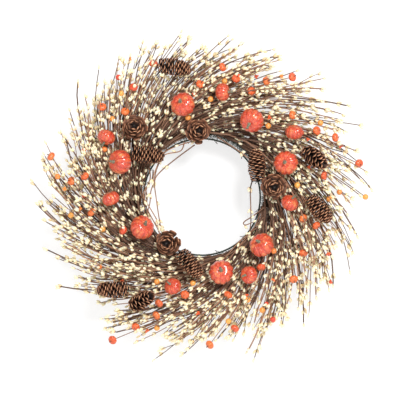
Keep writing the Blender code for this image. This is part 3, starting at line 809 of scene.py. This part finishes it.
def add_stem(shape, foot, axis, length, radius, slot, rng):
    """A ridged, bent stem that flares where it meets the body."""
    bend = random_side(axis, rng)
    path, radii = [], []
    for share, wide in ((-0.25, 1.5), (0.0, 1.35), (0.12, 1.0), (0.4, 0.75), (0.7, 0.7),
                        (0.95, 0.85), (1.0, 0.6)):
        path.append(foot + axis * length * share + bend * length * 0.3 * max(share, 0) ** 2)
        radii.append(radius * wide)
    add_tube(shape, path, radii, 10, slot, rng.random(), groove=0.28, up=bend)


def make_pumpkins():
    templates = [pumpkin_template(ribs, PUMPKIN_FLATNESS, 0.13) for ribs in (10, 11, 12)]
    for number, (clock, tilt) in enumerate(PUMPKIN_TURNS):
        rng = random.Random(300 + number)
        node = numbered("pumpkin", number)
        axis = direction(clock, tilt)
        heights, across = heights_and_offsets(node, axis)
        middle = (across.max(0) + across.min(0)) / 2
        radius = np.linalg.norm(across - middle, axis=1).max() / cos(WAIST_ANGLE)
        centre = Vector(middle) + axis * (heights.min() + radius * PUMPKIN_FLATNESS * 0.93)
        shape = Shape()
        add_pumpkin(shape, templates[number % 3], centre, axis, radius * 0.99, 0, rng.random(), rng)
        add_stem(shape, centre + axis * radius * 0.66, axis, radius * 0.52, radius * 0.14, 1, rng)
        shape.build(numbered("foam_pumpkin", number), ("pumpkin", "pumpkin_stem"), "pumpkin", node)


# ---- pinecones
SCALE_SIDES = 8
# Painted shade: the core is painted as dark as the shade between the scales, so that it doesn't show
# there.
CORE_PAINTED_SHADE = (0.4, 0.0, 0.0)
# For each kind of cone: the number of scales and how far up the core they go; their angle off
# the axis at the base in degrees, how much of it is lost by the tip, the power of that loss and
# its scatter; their half width, half thickness and outer end as shares of the cone's radius;
# and how far it is open.
CONE_KINDS = {
    "closed": (116, 1.0, 90, 42, 3, 4, 0.38, 0.038, 1.05, 0.0),
    "loose": (62, 0.98, 76, 40, 1, 8, 0.4, 0.045, 1.05, 0.4),
    "open": (30, 0.93, 94, 46, 1.2, 9, 0.33, 0.055, 1.08, 1.0),
}
# Along a scale: share of its length, half width, half thickness and lift towards the tip.
SCALE_STATIONS = (
    (0.0, 0.28, 0.8, 0.00), (0.35, 0.46, 0.5, 0.00), (0.6, 0.78, 0.55, 0.02),
    (0.78, 1.00, 0.75, 0.05), (0.88, 0.95, 1.0, 0.08), (0.95, 0.76, 1.0, 0.11),
    (0.985, 0.52, 0.9, 0.13), (1.0, 0.3, 0.6, 0.14),
)


def add_scale(shape, foot, outward, tipward, length, half_width, half_thick, shade, opened):
    """One woody scale: narrow inside, broad and thick at its rim, curled towards the tip."""
    across = outward.cross(tipward).normalized()
    points, tints = [], []
    for share, wide, thick, lift in SCALE_STATIONS:
        middle = foot + outward * length * share + tipward * length * lift
        for corner in range(SCALE_SIDES):
            turn = tau * corner / SCALE_SIDES
            droop = -0.14 * cos(turn) ** 2 * half_width * wide
            points.append(middle + across * cos(turn) * half_width * wide
                          + tipward * (sin(turn) * half_thick * thick + droop))
            tints.append((share, shade, opened))
    shape.add(points, loft_faces(len(SCALE_STATIONS), SCALE_SIDES), 0, tints)


def cone_outline(kind, share):
    """Outer radius along a cone, from its base to its tip, as a share of its widest."""
    if kind == "open":
        return min(1.0, 1.15 - 0.9 * share)
    return sqrt(1 - ((share - 0.42) / 0.62) ** 2)


def make_pinecone(number, kind, clock, tilt):
    """Scales set one by one round a core, each turned from the last by the golden angle."""
    rng = random.Random(500 + number)
    node = numbered("pinecone", number)
    axis = direction(clock, tilt)
    heights, across = heights_and_offsets(node, axis)
    base = Vector(across.mean(0)) + axis * heights.min()
    length = heights.max() - heights.min()
    radius = np.linalg.norm(across - across.mean(0), axis=1).max()
    side = axis.orthogonal().normalized()
    other = axis.cross(side)
    shape = Shape()
    core = [base + axis * length * share for share in (0.02, 0.3, 0.6, 0.9)]
    add_tube(shape, core, [radius * share for share in (0.16, 0.26, 0.2, 0.08)], 10, 0, 0.0,
             up=side)
    shape.tints = [CORE_PAINTED_SHADE] * len(shape.points)
    count, filled, lean, lost, power, scatter, wide, thick, swell, opened = CONE_KINDS[kind]
    for index in range(count):
        share = (index + 0.5) / count * filled
        turn = index * GOLDEN_ANGLE + rng.uniform(-0.18, 0.18)
        radial = side * cos(turn) + other * sin(turn)
        angle = radians(lean - lost * share ** power + rng.uniform(-scatter, scatter))
        outward = (radial * sin(angle) + axis * cos(angle)).normalized()
        tipward = (axis * sin(angle) - radial * cos(angle)).normalized()
        outer = radius * swell * cone_outline(kind, share) * rng.uniform(0.87, 1.0)
        inner = radius * 0.1
        scale_length = (outer - inner) / max(sin(angle), 0.55)
        rise = length * (0.02 + 0.94 * share) - cos(angle) * scale_length * 0.8
        foot = base + axis * max(rise, length * 0.02) + radial * inner
        half_width = radius * wide * (0.5 + 0.5 * cone_outline(kind, share))
        add_scale(shape, foot, outward, tipward, scale_length, half_width, radius * thick,
                  rng.random(), opened)
    shape.build(numbered("natural_cone", number), ("cone",), "pinecone", node)


# ---- picks
BERRY = turned_template(
    [(0, -1.0)] + [(cos(radians(a)), sin(radians(a)))
                   for a in (-72, -50, -28, -8, 12, 34, 55, 74)] + [(0, 0.94)], 14)
BUD = turned_template(((0, 0), (0.5, 0.1), (1.0, 0.45), (0.8, 0.75), (0.3, 0.97), (0, 1.0)), 6)
MINI_RADIUS, BERRY_RADIUS, PICK_WIRE = 0.008, 0.00525, 0.0008
FRUIT_SLOT, WIRE_SLOT = 0, 1
PICK_DEPTH = 0.001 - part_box("berry_pick_01")[1].y
PICK_SWEEP = sweep(RING_RADIUS, 64, TIP_RADIUS, steps=24)
PICK_CORNERS = {node: node_corners(node) for node in frame["nodes"]
                if node.startswith("berry_pick")}


def fruit_owner(centre):
    """The pick node whose solid comes nearest to a fruit's middle."""
    def mean_distance(node):
        apart = np.linalg.norm(PICK_CORNERS[node] - np.array(tuple(centre)), axis=1)
        return np.sort(apart)[:12].mean()

    return min(PICK_CORNERS, key=mean_distance)


def pick_advance(distance):
    """How far round the clock a pick's wire has swept when it is a distance from the centre."""
    for (clock_a, radius_a), (clock_b, radius_b) in zip(PICK_SWEEP, PICK_SWEEP[1:]):
        if radius_b >= distance:
            return clock_a + (clock_b - clock_a) * (distance - radius_a) / (radius_b - radius_a)
    return PICK_SWEEP[-1][0]


def pick_route(clock_deg, end):
    """A wire's route from the garland out to its fruit or bud, along the wreath's sweep."""
    distance = hypot(end.x - CENTRE.x, end.z - CENTRE.z)
    root = radians(clock_deg) - pick_advance(distance)
    path = [clock_point(root + clock, radius, PICK_DEPTH) for clock, radius in PICK_SWEEP
            if radius < distance - 0.004]
    path = smooth_route(path[::3] + [end], 3) if len(path) > 3 else path + [end]
    return pass_behind(path, 0.001)


def add_bud(shape, place, along, rng, shade):
    """A bud that has burst into four petals at the end of its wire."""
    for _ in range(4):
        stamp(shape, BUD, place, tilted(along, rng, 22, 48), (0.0021, 0.0068), FRUIT_SLOT,
              shade + rng.uniform(-0.1, 0.1))


def make_picks():
    mini = pumpkin_template(8, 0.7, 0.1, rows=12, per_rib=5, rib_depth=0.12)
    shapes = {}
    for number, (clock, reach, ripeness) in enumerate(MINIS + BERRIES):
        rng = random.Random(700 + number)
        radius = MINI_RADIUS if number < len(MINIS) else BERRY_RADIUS
        depth = PICK_DEPTH + 0.002 + radius
        centre = clock_point(radians(clock), reach_radius(reach), depth)
        shape = shapes.setdefault(fruit_owner(centre), Shape())
        path = pick_route(clock, centre)
        path[-1] = centre
        add_tube(shape, path, PICK_WIRE, 6, WIRE_SLOT, rng.random())
        axis = direction(clock + 40 + rng.uniform(-30, 30), rng.uniform(30, 75))
        if number < len(MINIS):
            add_pumpkin(shape, mini, centre, axis, radius, FRUIT_SLOT, ripeness, rng)
            add_stem(shape, centre + axis * radius * 0.5, axis, radius * 0.5, radius * 0.14,
                     WIRE_SLOT, rng)
        else:
            stamp(shape, BERRY, centre, axis, (radius, radius), FRUIT_SLOT, ripeness)
    for number, (clock, reach, ripeness) in enumerate(BUDS):
        rng = random.Random(800 + number)
        place = clock_point(radians(clock), reach_radius(reach), PICK_DEPTH + 0.006)
        shape = shapes.setdefault(fruit_owner(place), Shape())
        path = pick_route(clock, place)
        add_tube(shape, path, PICK_WIRE * 0.8, 5, WIRE_SLOT, rng.random())
        along = (path[-1] - path[-2]).normalized()
        add_bud(shape, path[-1], (along + FRONT * 0.7).normalized(), rng, ripeness)
    for node, shape in sorted(shapes.items()):
        shape.build(f"fruit_wires_{node[-2:]}", ("fruit", "bark"), "fruit_picks", node)


# ---- frame, garland and wires
def make_frame():
    """The two rings and the four short wires welded between them."""
    for node, name in (("inner_rail", "inner_ring"), ("outer_rail", "outer_ring")):
        low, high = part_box(node)
        wire = (high.y - low.y) / 2
        radius = (high.x - low.x) / 2 - wire
        path = [clock_point(tau * step / 144, radius, 0) for step in range(144)]
        shape = Shape()
        add_tube(shape, path, wire, 12, 0, closed=True)
        shape.build(name, ("frame_wire",), "frame_wire", node)
    for number in range(4):
        node = f"cross_brace_{number + 1}"
        low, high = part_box(node)
        middle = (low + high) / 2
        out = direction((number + 0.5) * 90, 90)
        half = (high - low).dot(Vector((abs(out.x), 0, abs(out.z)))) / 2
        # A weld bead widens each end where it meets a ring.
        stations = ((-1.0, 0.0018), (-0.93, 0.0018), (-0.8, 0.0011), (0.8, 0.0011),
                    (0.93, 0.0018), (1.0, 0.0018))
        shape = Shape()
        add_tube(shape, [middle + out * half * share for share, _ in stations],
                 [radius for _, radius in stations], 14, 0)
        shape.build(f"brace_wire_{number + 1}", ("frame_wire",), "frame_wire", node)


def make_garland():
    """Bristles twisted between two core wires, thick enough to hide them."""
    rng = random.Random(900)
    shape = Shape()
    core_depth = GARLAND_BACK + 0.006
    core_wire, core_steps, core_twists = 0.0009, 720, 60
    for phase in (0, pi):
        path = []
        for step in range(core_steps):
            turn = tau * step / core_steps
            twist = turn * core_twists + phase
            path.append(clock_point(turn, RING_RADIUS + core_wire * cos(twist),
                                    core_depth + core_wire * sin(twist)))
        add_tube(shape, path, core_wire, 5, 0, 0.1, closed=True)
    bristles_all_round, bristles = 9000, 12500
    for bristle in range(bristles):
        clock = rng.uniform(0, tau)
        roll = rng.uniform(-0.35, pi + 0.35)
        if bristle > bristles_all_round:
            # The rest are a fringe towards the opening.
            roll = rng.uniform(pi * 0.8, pi * 1.05)
        slant = rng.uniform(-0.45, 0.45)
        length = rng.uniform(0.01, 0.024) * (1 - 0.25 * abs(sin(roll)))
        foot = clock_point(clock, RING_RADIUS, core_depth)
        outward = clock_point(clock, RING_RADIUS + cos(roll), core_depth + sin(roll))
        axis = (outward - foot).normalized()
        along = Vector((cos(clock), 0, -sin(clock)))
        axis = (axis + along * slant).normalized()
        tip = foot + axis * length
        tip.y = min(tip.y, -GARLAND_BACK)
        side = axis.cross(Vector((rng.uniform(-1, 1), rng.uniform(-1, 1), 0.3))).normalized()
        over = axis.cross(side)
        thick = 0.0006
        corners = [foot + side * thick, foot - side * thick * 0.5 + over * thick * 0.87,
                   foot - side * thick * 0.5 - over * thick * 0.87, tip]
        shade = rng.random()
        shape.add(corners, [(0, 1, 3), (1, 2, 3), (2, 0, 3), (0, 2, 1)], 0,
                  [(0.0, shade, 0.0)] * 3 + [(1.0, shade, 0.0)])
    shape.build("bristle_garland", ("bristle",), "garland", "bristle_base")


def make_binding():
    """One wire over every root at the front and along the back to the next."""
    low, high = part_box("binding_wire")
    wire, root_half_width = 0.0005, 0.0108
    outer = (high.x - low.x) / 2 / cos(pi / SPRAY_COUNT) - wire
    inner = RING_RADIUS - GARLAND_WIDTH / 2 - 0.0016
    front, back = -low.y - wire, -high.y + wire
    shoulder = (GARLAND_BACK + GARLAND_FRONT) / 2
    over_root = (
        (inner, back), (inner, shoulder), (RING_RADIUS - root_half_width, front),
        (RING_RADIUS + root_half_width, front), (outer, shoulder), (outer, back),
    )
    points = []
    for spray in range(SPRAY_COUNT):
        clock = (spray + 0.5) * SPRAY_PITCH
        points += [clock_point(clock, radius, depth) for radius, depth in over_root]
        points.append(clock_point(clock + SPRAY_PITCH / 2, RING_RADIUS, back))
    shape = Shape()
    path = smooth_route(points, 5, closed=True)
    path = [Vector((p.x, min(max(p.y, low.y + wire), high.y - wire), p.z)) for p in path]
    add_tube(shape, path, wire, 6, 0, closed=True, up=Vector((0.3, 0.8, 0.52)))
    shape.build("paddle_wire", ("binding",), "binding_wire", "binding_wire")


def make_hanging_loop():
    """A bail of wire whose ends coil once round the outer ring."""
    pivot = Vector(frame["joints"][0]["pos_m"])
    low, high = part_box("hanging_loop")
    wire, coil_pitch = 0.0009, 0.0036
    half = (high.x - low.x) / 2 - wire
    eye = high.z - pivot.z - wire
    lean = radians(10)
    down = Vector((0, sin(lean), -cos(lean)))
    away = Vector((0, cos(lean), sin(lean)))
    # How far the bail falls before its half-round bottom begins.
    fall = (pivot.z - low.z - wire) / cos(lean) - half

    def bail_point(across, below):
        return pivot + Vector((across, 0, 0)) + away * eye + down * below

    def coil_point(side, share, inset):
        turn = tau * share
        return (pivot + Vector((side * (half - coil_pitch * inset), 0, 0))
                + away * eye * cos(turn) - down * eye * sin(turn))

    path = [coil_point(-1, step / 20, 1 - step / 20) for step in range(20)]
    path += [bail_point(-half, fall * step / 4) for step in range(5)]
    for step in range(1, 16):
        turn = pi * step / 16
        path.append(bail_point(-half * cos(turn), fall + half * sin(turn)))
    path += [bail_point(half, fall * (4 - step) / 4) for step in range(5)]
    path += [coil_point(1, step / 20, step / 20) for step in range(1, 21)]
    shape = Shape()
    add_tube(shape, path, wire, 10, 0, up=Vector((0.96, 0.2, 0.2)))
    shape.build("wire_bail", ("binding",), "binding_wire", "hanging_loop", body="hanging_loop")


# ---- studio
def pale_material(name, one_sided):
    """White backdrop; a one-sided one can be looked through from behind."""
    # A little light of its own keeps the backdrop white inside the soft shadows.
    look = Look(name, roughness=0.9, emission_strength=0.66)
    for socket, value in (("Base Color", (0.4, 0.4, 0.4)), ("Specular IOR Level", 0.1),
                          ("Emission Color", (1, 1, 1))):
        look.feed(look.shader.inputs[socket], value)
    if one_sided:
        clear = look.node("ShaderNodeBsdfTransparent").outputs[0]
        behind = look.node("ShaderNodeNewGeometry").outputs["Backfacing"]
        inputs = {0: behind, 1: look.shader.outputs[0], 2: clear}
        mixed = look.node("ShaderNodeMixShader", inputs).outputs[0]
        look.feed(look.tree.nodes["Material Output"].inputs["Surface"], mixed)
    return look.material


def add_plane(name, corners, material):
    mesh = bpy.data.meshes.new(name)
    mesh.from_pydata([tuple(corner) for corner in corners], [], [(0, 1, 2, 3)])
    mesh.materials.append(material)
    add_object(name, mesh)


def add_area(name, offset, size, power):
    """A square light at an offset from the wreath's centre, which it faces."""
    light = bpy.data.lights.new(name, "AREA")
    light.size = size
    light.energy = power
    obj = add_object(name, light)
    obj.location = CENTRE + Vector(offset)
    obj.rotation_euler = (-Vector(offset)).to_track_quat("-Z", "Y").to_euler()


def make_studio():
    """A pale wall close behind the wreath, a pale floor below it and two soft lights."""
    wall = CAD_BOX[1].y + 0.03
    floor = CENTRE.z - 0.43
    top = floor + 2.4
    wide, far = 1.6, 3.2
    add_plane("door_plane", [(-wide, wall, floor), (wide, wall, floor), (wide, wall, top),
                             (-wide, wall, top)], pale_material("pale_wall", True))
    add_plane("pale_floor", [(-far, -far, floor), (far, -far, floor), (far, far, floor),
                             (-far, far, floor)], pale_material("pale_floor", False))
    add_area("key", (0.75, -2.3, 1.15), 0.7, 64)
    add_area("fill", (-1.6, -1.8, 0.2), 1.6, 9)
    world = bpy.data.worlds.new("studio")
    world.use_nodes = True
    world.node_tree.nodes["Background"].inputs["Color"].default_value = (1, 1, 1, 1)
    world.node_tree.nodes["Background"].inputs["Strength"].default_value = 0.28
    bpy.context.scene.world = world
    bpy.context.scene.view_settings.view_transform = "Standard"


def make_camera():
    """A long lens square to the wreath's face."""
    distance, frame_width, wreath_depth = 3.0, 0.709, 0.035
    data = bpy.data.cameras.new("camera")
    data.lens = data.sensor_width * distance / frame_width
    camera = add_object("camera", data)
    # The wreath sits slightly right of the picture's middle and above it.
    shift_right, shift_up = 0.0035, 0.0055
    camera.location = CENTRE + Vector((-shift_right, -wreath_depth - distance, -shift_up))
    camera.rotation_euler = (radians(90), 0, 0)
    bpy.context.scene.camera = camera


make_camera()
make_studio()
make_frame()
make_garland()
make_binding()
make_hanging_loop()
make_sprays()
make_pumpkins()
for index, turns in enumerate(PINECONE_TURNS):
    make_pinecone(index, *turns)
make_picks()
